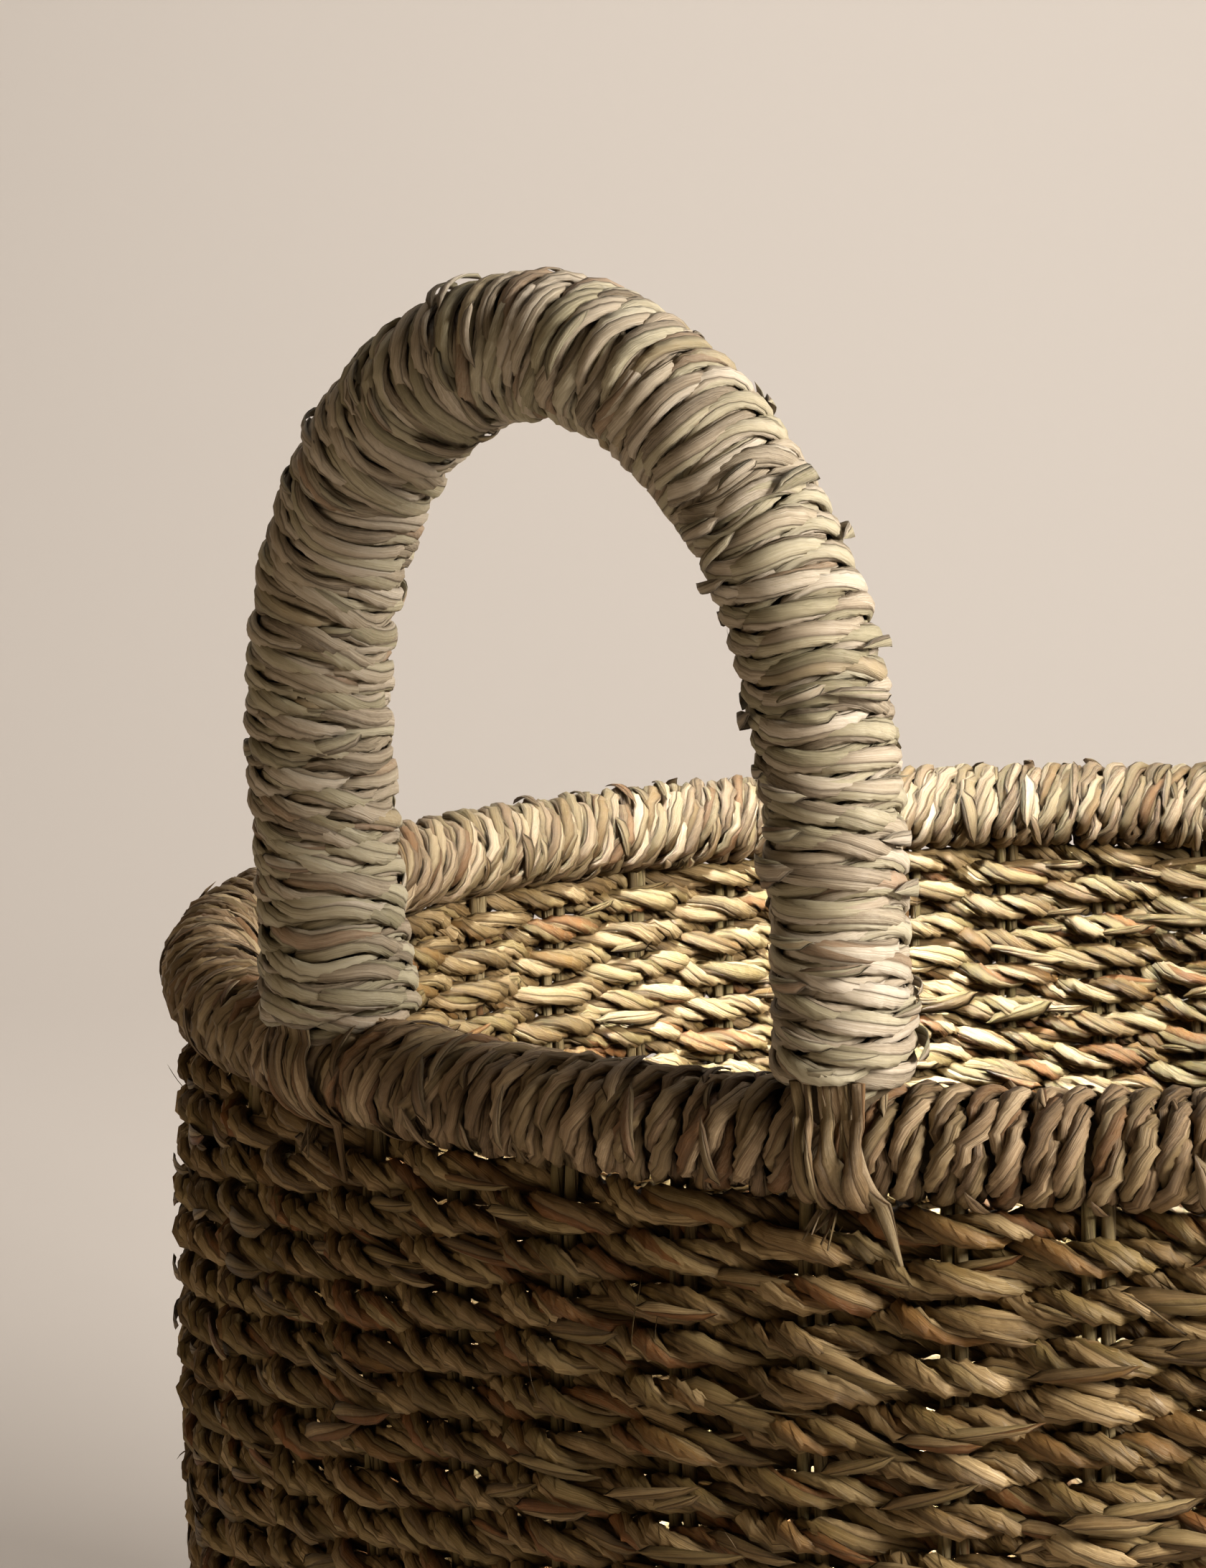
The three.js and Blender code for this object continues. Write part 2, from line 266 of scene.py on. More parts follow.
class GeometryTree(Nodes):
    def __init__(self, name, geometry_in=False, **inputs):
        super().__init__(bpy.data.node_groups.new(name, "GeometryNodeTree"))
        face = self.tree.interface
        face.new_socket("Geometry", in_out="OUTPUT", socket_type="NodeSocketGeometry")
        if geometry_in:
            face.new_socket("Geometry", in_out="INPUT", socket_type="NodeSocketGeometry")
        for label, default in inputs.items():
            if default is None:
                face.new_socket(label, in_out="INPUT", socket_type="NodeSocketMaterial")
                continue
            made = face.new_socket(label, in_out="INPUT", socket_type=KINDS[type(default)])
            made.default_value = default
        self.entry = self.tree.nodes.new("NodeGroupInput")
        self.exit = self.tree.nodes.new("NodeGroupOutput")

    def given(self, label):
        return Value(self, self.entry.outputs[label])

    def finish(self, geometry):
        """End the tree: smooth shading, no instances left, and the finish given to it."""
        smooth = self.add("GeometryNodeSetShadeSmooth", {}, {"Geometry": geometry})
        whole = self.add("GeometryNodeRealizeInstances", {}, {"Geometry": smooth})
        inputs = {"Geometry": whole, "Material": self.given("Material")}
        done = self.add("GeometryNodeSetMaterial", {}, inputs)
        self.tree.links.new(done.socket, self.exit.inputs[0])

    def attribute(self, name, kind="FLOAT"):
        settings = {"data_type": kind}
        return self.add("GeometryNodeInputNamedAttribute", settings, {"Name": name})

    def store(self, geometry, name, value, kind="FLOAT", domain="POINT"):
        settings = {"data_type": kind, "domain": domain}
        inputs = {"Geometry": geometry, "Name": name, "Value": value}
        return self.add("GeometryNodeStoreNamedAttribute", settings, inputs)

    def moved(self, geometry, position):
        return self.add("GeometryNodeSetPosition", {}, {"Geometry": geometry, "Position": position})

    def outline(self, sides):
        """A round outline that keeps the angle of each corner, and that angle."""
        inputs = {"Resolution": sides, "Radius": 1.0}
        ring = self.add("GeometryNodeCurvePrimitiveCircle", {}, inputs)
        corner = self.add("GeometryNodeSplineParameter").also("Index") / sides * math.tau
        return self.store(ring, "corner", corner), corner

    def swept(self, line, outline, scale):
        """An outline swept along a line, with its ends closed."""
        inputs = {"Curve": line, "Profile Curve": outline, "Scale": scale, "Fill Caps": True}
        return self.add("GeometryNodeCurveToMesh", {}, inputs)

    def keep_strand(self, skin):
        """Store where each point is round its leaf and along it, for the finish."""
        corner = self.attribute("corner")
        strand = self.vector(corner.cos(), corner.sin(), self.attribute("metres"))
        return self.store(skin, "strand", strand, "FLOAT_VECTOR")

    def copies(self, geometry, amount):
        """The splines repeated, and each copy's number."""
        inputs = {"Geometry": geometry, "Amount": amount}
        made = self.add("GeometryNodeDuplicateElements", {"domain": "SPLINE"}, inputs)
        return made, made.also("Duplicate Index")


# %% Run a tree
def run_tree(tree, name, **values):
    """Evaluate a tree on an empty mesh and keep what it makes as a plain mesh object."""
    holder = bpy.data.objects.new(name, bpy.data.meshes.new(name + "_empty"))
    bpy.context.scene.collection.objects.link(holder)
    modifier = holder.modifiers.new("tree", "NODES")
    modifier.node_group = tree.tree
    for item in tree.tree.interface.items_tree:
        if item.in_out == "INPUT" and item.name in values:
            modifier[item.identifier] = values.pop(item.name)
    if values:
        raise KeyError(f"{name}: no input called {list(values)}")
    graph = bpy.context.evaluated_depsgraph_get()
    made = bpy.data.meshes.new_from_object(holder.evaluated_get(graph), depsgraph=graph)
    holder.modifiers.clear()
    empty, holder.data = holder.data, made
    bpy.data.meshes.remove(empty)
    made.name = name
    triangles = sum(len(p.vertices) - 2 for p in made.polygons)
    print(f"{name}: {triangles} triangles")
    return holder


# %% [markdown]
# ## Twisted cord
# Seagrass cord is two plies of flat leaf twisted round each other. A bump map on a smooth
# tube could hint at that, but the real cord throws deep shadows between its plies and has a
# broken outline, so every ply is real mesh. The group takes lines with an outward direction
# stored on them, copies each line twice, winds the two copies round the line half a turn
# apart, and sweeps a folded leaf outline along them. Last it presses the whole cord flat
# against what it lies on, as a tight winding does.

# %% The two-ply cord group
LEAVES = 3  # leaves side by side round one ply
LEAF_SLANT = 38  # how many leaves are passed in a metre of ply
PLIES = 2
TWIST_WANDER = 45.0  # how often the twist tightens and loosens, in a metre
FAT_AND_THIN = 60.0  # how often a ply swells and thins, in a metre
PLY_WIDE, PLY_HIGH = 0.92, 1.12  # the outline of a ply against a round one
LOBES = 0.13  # how far each leaf stands out, as a share of the ply


def make_cord_group():
    t = GeometryTree(
        "two_ply_cord", geometry_in=True, Lay=0.028, Ply=0.0018, Spread=0.0015, Press=1.0,
        Unevenness=0.15, Wander=1.6, Sides=8, Seed=0, Material=None,
    )
    line = t.given("Geometry")
    tangent = t.add("GeometryNodeInputTangent")
    captured = t.store(line, "along", tangent, "FLOAT_VECTOR")
    captured = t.store(captured, "axis", t.add("GeometryNodeInputPosition"), "FLOAT_VECTOR")
    length = t.add("GeometryNodeSplineLength")
    parameter = t.add("GeometryNodeSplineParameter")
    turns = (length / t.given("Lay")).round()
    captured = t.store(captured, "share", parameter)
    captured = t.store(captured, "turns", turns)
    captured = t.store(captured, "metres", parameter.also("Length"))
    plies, ply_number = t.copies(captured, PLIES)
    plies = t.store(plies, "ply", ply_number)

    axis = t.attribute("axis", "FLOAT_VECTOR")
    along = t.attribute("along", "FLOAT_VECTOR")
    rough_out = t.attribute("out", "FLOAT_VECTOR")
    out = (rough_out - along * along.dot(rough_out)).unit()
    side = along.cross(out)
    seed = t.given("Seed")
    row = t.attribute("row")
    uneven = t.given("Unevenness")
    wander = t.noise(axis, TWIST_WANDER, w=row * 3.7 + seed)
    start = row * 2.399 + seed
    turn = t.attribute("share") * t.attribute("turns") * math.tau + wander * t.given("Wander")
    turn = turn + start + t.attribute("ply") * math.pi
    spoke = out * turn.cos() + side * turn.sin()
    placed = t.moved(plies, axis + spoke * t.given("Spread"))
    settled = {"Curve": placed, "Normal": spoke}
    placed = t.add("GeometryNodeSetCurveNormal", {"mode": "FREE"}, settled)

    ply_noise = t.attribute("ply") * 17.3 + row * 5.1 + seed
    fat = 1 + uneven * t.noise(axis, FAT_AND_THIN, 1.0, w=ply_noise)
    outline, corner = t.outline(t.given("Sides"))
    outline = t.moved(outline, t.vector(corner.cos() * PLY_WIDE, corner.sin() * PLY_HIGH, 0.0))
    skin = t.swept(placed, outline, fat * t.given("Ply"))

    corner_at = t.attribute("corner")
    leaf_place = t.vector(corner_at.cos() * 0.8, corner_at.sin() * 0.8, t.attribute("metres") * 90)
    fold = t.noise(leaf_place, 1.3, 1.0, w=ply_noise)
    lobes = (corner_at * LEAVES + t.attribute("metres") * (LEAF_SLANT * math.tau)).cos()
    normal = t.add("GeometryNodeInputNormal")
    position = t.add("GeometryNodeInputPosition")
    raised = (fold * uneven * 1.2 + lobes * LOBES) * t.given("Ply")
    skin = t.moved(skin, position + normal * raised)
    offset = position - axis
    flat = out * (out.dot(offset) * (t.given("Press") - 1))
    skin = t.moved(skin, position + flat)

    skin = t.keep_strand(skin)
    skin = t.store(skin, "leaf", t.attribute("ply") + row * PLIES + seed * 100)
    for done in ("along", "axis", "share", "turns", "out", "corner", "metres", "ply"):
        skin = t.add("GeometryNodeRemoveAttribute", {}, {"Geometry": skin, "Name": done})
    t.finish(skin)
    return t


CORD = make_cord_group()
print("the cord group has", len(CORD.tree.nodes), "nodes")


def add_cord(tree, line, **inputs):
    """Use the cord group inside another tree."""
    return tree.add("GeometryNodeGroup", {"node_tree": CORD.tree}, {"Geometry": line, **inputs})


# %% [markdown]
# ## The shape of the wall
# The wall leans out gently from the foot, is widest at three quarters of its height and
# comes in a little under the rim. Its outline could be a curve that each tree samples. A
# cubic formula says the same in one line, and the same function takes plain numbers and
# node values, so the rows, the stakes and the loose leaves can't drift apart.

# %% Wall radius
WALL_TOP = 300 * MM
WALL_FOOT = 207 * MM
LEAN_OUT, BELLY, TURN_IN = 10.5 * MM, 21.4 * MM, 25.4 * MM


def wall_radius(z):
    s = z / WALL_TOP
    return WALL_FOOT + s * LEAN_OUT + s * s * BELLY - s * s * s * TURN_IN


for z in (0.0, WALL_TOP * 0.75, WALL_TOP):
    print(f"the wall's radius is {wall_radius(z):.4f} m at a height of {z:.3f} m")


# %% [markdown]
# ## Finishes
# Dry seagrass is a bundle of long fibres in a thin satin skin. Each leaf keeps one tone from
# end to end, from olive through straw to a few rust ones, and the fibres show as fine
# stripes along it. Noise on Object coordinates would run straight across the plies. The
# cord stores where each point is along its leaf and around it, so the shader reads that
# instead: it numbers the leaves, gives each its own tone, and runs the stripes along the
# twist. The wall, the rim, the handles and the raw strips differ only in their colours.

# %% Grass materials
LEAF_LENGTH = 0.085  # metres along the ply before the next leaf begins
GREEN_LEAVES = 0.4  # share of the leaves that lean to olive
FIBRE_BUMP = 0.0006  # metres


def grass_material(name, dark, middle, light, rust, rust_share, roughness, bump):
    """Dry leaf: a tone for each leaf between three colours, with a share of rust ones."""
    material = bpy.data.materials.new(name)
    material.use_nodes = True
    material.node_tree.nodes.clear()
    t = Nodes(material.node_tree)

    def attribute(label, output):
        return t.add("ShaderNodeAttribute", {"attribute_name": label}).also(output)

    strand = attribute("strand", "Vector")
    leaf = attribute("leaf", "Fac")
    around = t.add("ShaderNodeMath", {"operation": "ARCTAN2"}, (strand.part("y"), strand.part("x")))
    around = around / math.tau + 0.5
    metres = strand.part("z")
    slant = around * LEAVES + metres * LEAF_SLANT
    blade = slant.floor() % LEAVES
    across = slant % 1.0
    tip = (across - 0.5).abs() * 0.3
    length_along = (metres / LEAF_LENGTH + blade * 0.37 + leaf * 0.61 + tip).floor()
    pick = {"Vector": t.vector(blade, length_along, leaf)}
    tone = t.add("ShaderNodeTexWhiteNoise", {}, pick)
    tone_two = tone.also("Color")
    red_pick = tone_two.part("x")
    green_pick = tone_two.part("y")

    fibre_place = t.vector(across * 13, metres * 28, tone * 50 + leaf)
    fibre = t.noise(fibre_place, 1.0, 5.0, rough=0.68)
    mottled = t.noise(t.vector(across, metres * 90, leaf), 1.0, 3.0)
    level = (tone * 0.68 + 0.16 + fibre * 0.62 + mottled * 0.2).clamped()
    stops = ((0.0, dark), (0.5, middle), (1.0, light))
    colour = t.add("ShaderNodeValToRGB", {"stops": stops}, (level,))
    rusty = (red_pick < rust_share) * (0.55 + mottled * 0.5).clamped()
    colour = t.mix(rusty, colour, (*rust, 1))
    greenish = (green_pick > 1 - GREEN_LEAVES) * 0.35
    olive = (middle[0] * 0.95, middle[1] * 1.12, middle[2] * 0.9, 1)
    colour = t.mix(greenish, colour, olive)

    # Painted shade: the border between two leaves is sunk by the bump and also painted darker in
    # colour.
    edge = (across - 0.5).abs() * 2
    seam_groove_shade = edge ** (tone * 7 + 2.5)
    height = fibre * 0.45 - seam_groove_shade * 0.9 + mottled * 0.15
    bumped = {"Strength": bump, "Distance": FIBRE_BUMP, "Height": height}
    normal = t.add("ShaderNodeBump", {}, bumped)
    rough = (roughness + fibre * 0.1 + seam_groove_shade * 0.2).clamped()
    colour = t.mix(seam_groove_shade * 0.55, colour, (*dark, 1))
    shader = t.add(
        "ShaderNodeBsdfPrincipled", {},
        {"Base Color": colour, "Roughness": rough, "Normal": normal, "Specular IOR Level": 0.35},
    )
    t.add("ShaderNodeOutputMaterial", {}, {"Surface": shader})
    return material


# %% Wall, rim, handle and stalk grass
WALL_GRASS = grass_material(
    "wall_grass", dark=(0.05, 0.030, 0.012), middle=(0.235, 0.157, 0.071),
    light=(0.56, 0.42, 0.235), rust=(0.31, 0.125, 0.04),
    rust_share=0.13, roughness=0.44, bump=1.0,
)
RIM_GRASS = grass_material(
    "rim_grass", dark=(0.07, 0.043, 0.021), middle=(0.265, 0.182, 0.105),
    light=(0.58, 0.45, 0.295), rust=(0.26, 0.13, 0.055),
    rust_share=0.10, roughness=0.48, bump=1.0,
)
HANDLE_GRASS = grass_material(
    "handle_grass", dark=(0.085, 0.062, 0.038), middle=(0.42, 0.348, 0.258),
    light=(0.61, 0.54, 0.445), rust=(0.47, 0.32, 0.21),
    rust_share=0.08, roughness=0.42, bump=0.9,
)
STALK_GRASS = grass_material(
    "stalk_grass", dark=(0.07, 0.05, 0.025), middle=(0.24, 0.18, 0.09),
    light=(0.42, 0.34, 0.20), rust=(0.25, 0.12, 0.05),
    rust_share=0.10, roughness=0.6, bump=0.8,
)
print("grass finishes:", [m.name for m in bpy.data.materials if m.name.endswith("_grass")])

# %% [markdown]
# ## The hidden frame
# Inside the cord, a wire hoop keeps the rim round, bent rods keep the handles up, and a
# bundle of grass round each gives it its thickness. They can't be seen once the cord is on,
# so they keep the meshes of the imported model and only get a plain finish: dull steel, or
# dark grass.

# %% Hidden frame
def plain_material(name, colour, roughness, metallic, spots, spot_scale):
    """One colour with soft spots of a second one and a fine bump."""
    material = bpy.data.materials.new(name)
    material.use_nodes = True
    material.node_tree.nodes.clear()
    t = Nodes(material.node_tree)
    place = t.add("ShaderNodeTexCoord").also("Object")
    grain = t.noise(place, spot_scale, 4.0)
    shade = t.mix((grain * 0.5 + 0.5).clamped(), (*colour, 1), (*spots, 1))
    normal = t.add("ShaderNodeBump", {}, {"Strength": 0.4, "Distance": 0.0004, "Height": grain})
    inputs = {"Base Color": shade, "Roughness": roughness, "Metallic": metallic, "Normal": normal}
    shader = t.add("ShaderNodeBsdfPrincipled", {}, inputs)
    t.add("ShaderNodeOutputMaterial", {}, {"Surface": shader})
    return material


BUNDLE = plain_material("grass_bundle", (0.10, 0.07, 0.035), 0.9, 0.0, (0.03, 0.02, 0.01), 900)
STEEL = plain_material("steel_wire", (0.16, 0.15, 0.14), 0.45, 0.8, (0.08, 0.05, 0.03), 400)
for node_name, finish in (
    ("rim_hoop", STEEL), ("handle_left_rod", STEEL), ("handle_right_rod", STEEL),
    ("rim_core", BUNDLE), ("handle_left_core", BUNDLE), ("handle_right_core", BUNDLE),
):
    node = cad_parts[node_name]
    node.data.materials.clear()
    node.data.materials.append(finish)
print("hidden finishes:", BUNDLE.name, STEEL.name)


# %% [markdown]
# ## The wall
# The wall is woven: a row of weft goes outside one stake and inside the next, and the row
# above does the opposite. One stitch could be modelled and arrayed round the wall, but its
# ends would have to meet and each copy would look alike. Here each row is one closed ring
# that swings in and out as a cosine of its angle, and noise shifts it by a few tenths of a
# cord. The tree lays a band of such rings; five bands make the wall, so that no single mesh
# gets too heavy.

# %% The weft tree
ROWS_IN_BAND = 12
BANDS = 5
ROWS = ROWS_IN_BAND * BANDS
WEFT_FROM = WEFT_LOW - 1.0 * MM
WEFT_TO = WEFT_HIGH + 5.0 * MM
ROW_PITCH = (WEFT_TO - WEFT_FROM) / ROWS
WEFT_SWING = 3.8 * MM  # how far a row goes out and in past the stakes
SHARED_WAVE, OWN_WAVE = 2.2 * MM, 1.1 * MM  # how far rows rise and fall, together and alone
STAKE_TURN = math.radians(1.0)
POINTS_PER_STAKE = 9


def make_weft_tree():
    t = GeometryTree(
        "woven_rows", First=0, Rows=ROWS_IN_BAND, Swing=WEFT_SWING, Seed=3, Material=None,
    )
    ring = {"Resolution": STAKES * POINTS_PER_STAKE, "Radius": 1.0}
    ring = t.add("GeometryNodeCurvePrimitiveCircle", {}, ring)
    rings, number = t.copies(ring, t.given("Rows"))
    rings = t.store(rings, "row", number + t.given("First"))
    row = t.attribute("row")
    index = t.add("GeometryNodeSplineParameter").also("Index")
    angle = index / (STAKES * POINTS_PER_STAKE) * math.tau
    unit = t.outward(angle)
    shared = t.noise(unit, 2.2, 1.0, w=row * 0.09 + 4.0)
    own = t.noise(unit, 9.0, 1.0, w=row * 3.1)
    height = WEFT_FROM + (row + 0.5) * ROW_PITCH + shared * SHARED_WAVE + own * OWN_WAVE
    stake_wave = (angle - STAKE_TURN) * (STAKES / 2)
    swing = (stake_wave + row * math.pi).cos() * t.given("Swing")
    swing = swing * (1 + t.noise(unit, 14.0, 0.0, w=row * 1.7 + 9) * 0.35)
    radius = wall_radius(height) + swing
    line = t.moved(rings, unit * radius + t.vector(0.0, 0.0, height))
    line = t.store(line, "out", unit, "FLOAT_VECTOR")
    cord = add_cord(
        t, line, Lay=25.5 * MM, Ply=2.4 * MM, Spread=1.85 * MM, Press=0.95, Unevenness=0.32,
        Wander=2.4, Sides=8, Seed=t.given("Seed"), Material=t.given("Material"),
    )
    t.finish(cord)
    return t


WEFT = make_weft_tree()
bands = []
for band in range(BANDS):
    values = {"First": band * ROWS_IN_BAND, "Material": WALL_GRASS}
    made = run_tree(WEFT, f"wall_weft_{band + 1}", **values)
    courses = [f"weft_course_{2 * band + 1:02d}", f"weft_course_{2 * band + 2:02d}"]
    bands.append((made, courses))
print(f"{ROWS} rows, {ROW_PITCH * 1000:.2f} mm from one to the next")


# %% [markdown]
# ## The stakes
# Pairs of thin stalks run up inside the weft. They show in the gaps of the weave and in the
# open band under the rim. Plain upright cylinders would look like a fence, so each stalk
# follows the wall's curve on its own wavering line, and has only six sides, because little
# of it is seen.

# %% The stakes tree
STALK_SIDES = 6
STALK_POINTS = 64


def make_stake_tree():
    t = GeometryTree("stalk_pairs", Stalk=1.5 * MM, Apart=3.6 * MM, Seed=5, Material=None)
    line = t.add("GeometryNodeCurvePrimitiveLine", {}, {"End": (0, 0, 1)})
    line = t.add("GeometryNodeResampleCurve", {}, {"Curve": line, "Count": STALK_POINTS})
    stalks, number = t.copies(line, STAKES * 2)
    stalks = t.store(stalks, "row", number)
    row = t.attribute("row")
    share = t.add("GeometryNodeSplineParameter")
    height = 4 * MM + share * (RIM_Z - 12 * MM)
    pair = (row / 2).floor()
    twin = (row % 2) * 2 - 1
    angle = pair / STAKES * math.tau + STAKE_TURN
    wobble = t.noise(t.vector(row, 0.0, height * 22), 1.0)
    radius = wall_radius(height) + wobble * 0.6 * MM
    lean = t.noise(t.vector(row, 5.0, height * 9), 1.0) * 1.3 * MM
    angle = angle + (twin * t.given("Apart") / 2 + lean) / radius
    placed = t.moved(stalks, t.outward(angle) * radius + t.vector(0.0, 0.0, height))
    outline, _ = t.outline(STALK_SIDES)
    placed = t.store(placed, "metres", height)
    skin = t.keep_strand(t.swept(placed, outline, t.given("Stalk")))
    skin = t.store(skin, "leaf", row)
    t.finish(skin)
    return t


stakes = run_tree(make_stake_tree(), "stake_stalks", Material=STALK_GRASS)


# %% [markdown]
# ## The rim
# One cord is wound round the hoop and its bundle of grass, turn beside turn, all the way
# round. Separate rings set side by side would be simpler, but a real winding leans, and its
# turns slip and crowd. So the line is one long coil on a ring, drawn from the angle alone,
# with noise that pushes whole turns, and parts of a turn, along the rim.

# %% The rim tree
RIM_WRAPS = 218
POINTS_PER_WRAP = 24
RIM_CORD_DEPTH = 3.0 * MM  # from the outside of the winding to the cord's middle


def make_rim_tree():
    t = GeometryTree("rim_winding", Wraps=RIM_WRAPS, Tube=RIM_TUBE, Seed=8, Material=None)
    count = t.given("Wraps") * POINTS_PER_WRAP
    ring = t.add("GeometryNodeCurvePrimitiveCircle", {}, {"Resolution": count, "Radius": 1.0})
    index = t.add("GeometryNodeSplineParameter").also("Index")
    share = index / count
    angle = share * math.tau
    turn = angle * t.given("Wraps")
    wrap = share * t.given("Wraps")
    unit = t.outward(angle)
    jitter = t.noise(t.vector(wrap * 0.9, 0.0, 0.0), 1.0) * 1.6 * MM
    jitter = jitter + t.noise(unit, 30.0, 0.0, w=turn.sin() * 0.4) * 1.5 * MM
    unit = t.outward(angle + jitter / RIM_RADIUS)
    out = unit * turn.cos() + t.vector(0.0, 0.0, turn.sin())
    uneven = t.noise(unit, 40.0, 0.0, w=wrap) * 0.7 * MM
    tube = t.given("Tube") - RIM_CORD_DEPTH + uneven
    middle = unit * RIM_RADIUS + t.vector(0.0, 0.0, RIM_Z)
    line = t.store(ring, "out", out, "FLOAT_VECTOR")
    line = t.moved(line, middle + out * tube)
    line = t.store(line, "row", 0.0)
    cord = add_cord(
        t, line, Lay=27 * MM, Ply=2.1 * MM, Spread=1.7 * MM, Press=0.8, Unevenness=0.28,
        Wander=1.2, Sides=8, Seed=t.given("Seed"), Material=t.given("Material"),
    )
    t.finish(cord)
    return t


rim = run_tree(make_rim_tree(), "rim_cord", Material=RIM_GRASS)


# %% [markdown]
# ## The handles
# The same winding follows an arch: a straight leg, half an ellipse and a straight leg. It
# could be a coil bent by a Curve modifier, but that stretches the turns at the bends. Here
# the arch is drawn first and cut into equal steps, and the coil goes round it at right
# angles to each step. The cord is thinner, flatter and paler here, the lowest turns flare
# over the rim, and one leg is wound a little thicker than the other.

# %% The handle tree
FOOT_WINDINGS = (10.0 * MM, 14.0 * MM)  # the lowest turn on each leg, above the rim's middle
HANDLE_WRAPS = 70
POINTS_PER_TURN = 32
LEG_SHARE = 0.16
WOUND_THICKER = 1.4 * MM  # the first leg over the middle, and the middle over the last leg
HANDLE_CORD_DEPTH = 2.9 * MM  # from the outside of the winding to the cord's middle
HANDLE_ACROSS = (math.cos(HANDLE_LEAN), 0.0, -math.sin(HANDLE_LEAN))


def handle_point(t, v):
    """The handle's middle line, from one foot to the other as v goes from 0 to 1."""
    sweep = ((v - LEG_SHARE) / (1 - 2 * LEG_SHARE)).clamped() * math.pi
    first, last = FOOT_WINDINGS
    start = (v > 0.5) * (last - first) + first
    drop = (1 - (v.least(1 - v) / LEG_SHARE).clamped()) * (HANDLE_LEG - start)
    up = HANDLE_LEG + sweep.sin() * (HANDLE_RISE - HANDLE_LEG) - drop
    x = FOOT_X + up * math.sin(HANDLE_LEAN)
    return t.vector(x, sweep.cos() * -HANDLE_HALF, RIM_Z + up * math.cos(HANDLE_LEAN))


def make_handle_tree():
    t = GeometryTree(
        "handle_winding", Wraps=HANDLE_WRAPS, Tube=HANDLE_TUBE, Seed=1, Material=None,
    )
    line = t.add("GeometryNodeCurvePrimitiveLine", {}, {"End": (0, 0, 1)})
    line = t.add("GeometryNodeResampleCurve", {}, {"Curve": line, "Count": 400})
    line = t.moved(line, handle_point(t, t.add("GeometryNodeSplineParameter")))
    count = t.given("Wraps") * POINTS_PER_TURN
    line = t.add("GeometryNodeResampleCurve", {}, {"Curve": line, "Count": count})
    line = t.store(line, "lead", t.add("GeometryNodeInputTangent"), "FLOAT_VECTOR")
    share = t.add("GeometryNodeSplineParameter")
    line = t.store(line, "turn_share", share)
    lead = t.attribute("lead", "FLOAT_VECTOR")
    share = t.attribute("turn_share")
    across = t.vector(*HANDLE_ACROSS)
    inward = lead.cross(across)
    wrap = share * t.given("Wraps")
    turn = wrap * math.tau
    out = across * turn.cos() + inward * turn.sin()
    end = share.least(1 - share) * t.given("Wraps")
    flare = (1 - end / 4).clamped() * 1.6 * MM - (1 - end / 0.4).clamped() * 5 * MM
    flare = flare + (0.5 - share) * (2 * WOUND_THICKER) + 0.5 * MM
    position = t.add("GeometryNodeInputPosition")
    tube = t.given("Tube") - HANDLE_CORD_DEPTH + flare + t.noise(position, 60.0, 1.0) * 0.7 * MM
    slip = t.noise(t.vector(wrap * 0.8, t.given("Seed"), 0.0), 1.0) * 1.1 * MM
    slant = (turn + t.noise(t.vector(wrap * 0.25, 3.0, 0.0), 1.0) * 3).sin() * 1.5 * MM
    line = t.store(line, "out", out, "FLOAT_VECTOR")
    line = t.moved(line, position + out * tube + lead * (slip + slant))
    line = t.store(line, "row", t.given("Seed"))
    cord = add_cord(
        t, line, Lay=31 * MM, Ply=2.15 * MM, Spread=2.0 * MM, Press=0.6, Unevenness=0.28,
        Wander=2.4, Sides=10, Seed=t.given("Seed"), Material=t.given("Material"),
    )
    t.finish(cord)
    return t


HANDLE = make_handle_tree()
handle_right = run_tree(HANDLE, "handle_right_cord", Seed=1, Material=HANDLE_GRASS)
handle_left = run_tree(HANDLE, "handle_left_cord", Seed=2, Material=HANDLE_GRASS)
handle_left.data.transform(HALF_TURN)


# %% [markdown]
# ## Loose leaf ends
# Seagrass is never quite tidy: leaf tips lift from the cord, and short ends stick out where
# one leaf was twisted in after another. A hair system could grow them, but hairs are round
# and have no width to catch the light. So a small tapered blade, made once, is set on the
# surfaces a few hundred times, with its direction, size and tilt drawn from fixed seeds.

# %% One blade
BLADE_POINTS = 7
BLADE_SIDES = 5
BLADE_FLATTENED = 0.82  # how much of its thickness a blade loses


def blade_shape(t, length, width, bend):
    """One blade along X, arched towards Z, pointed at both ends."""
    line = t.add("GeometryNodeCurvePrimitiveLine", {}, {"End": (1, 0, 0)})
    line = t.add("GeometryNodeResampleCurve", {}, {"Curve": line, "Count": BLADE_POINTS})
    share = t.add("GeometryNodeSplineParameter")
    across = share * 2 - 1
    sideways = across * across * across * (length * 0.06)
    middle = t.vector(across * length / 2, sideways, (1 - across * across) * bend)
    line = t.store(line, "middle", middle, "FLOAT_VECTOR")
    line = t.store(line, "metres", share * length)
    line = t.moved(line, middle)
    settled = {"Curve": line, "Normal": UP}
    line = t.add("GeometryNodeSetCurveNormal", {"mode": "FREE"}, settled)
    outline, _ = t.outline(BLADE_SIDES)
    taper = (1 - across**4) * (1 - share * 0.35) * width / 2 + 0.05 * MM
    skin = t.swept(line, outline, taper)
    place = t.add("GeometryNodeInputPosition")
    thickness = place.part("z") - t.attribute("middle", "FLOAT_VECTOR").part("z")
    skin = t.moved(skin, place - t.vector(0.0, 0.0, 1.0) * (thickness * BLADE_FLATTENED))
    return t.keep_strand(skin)


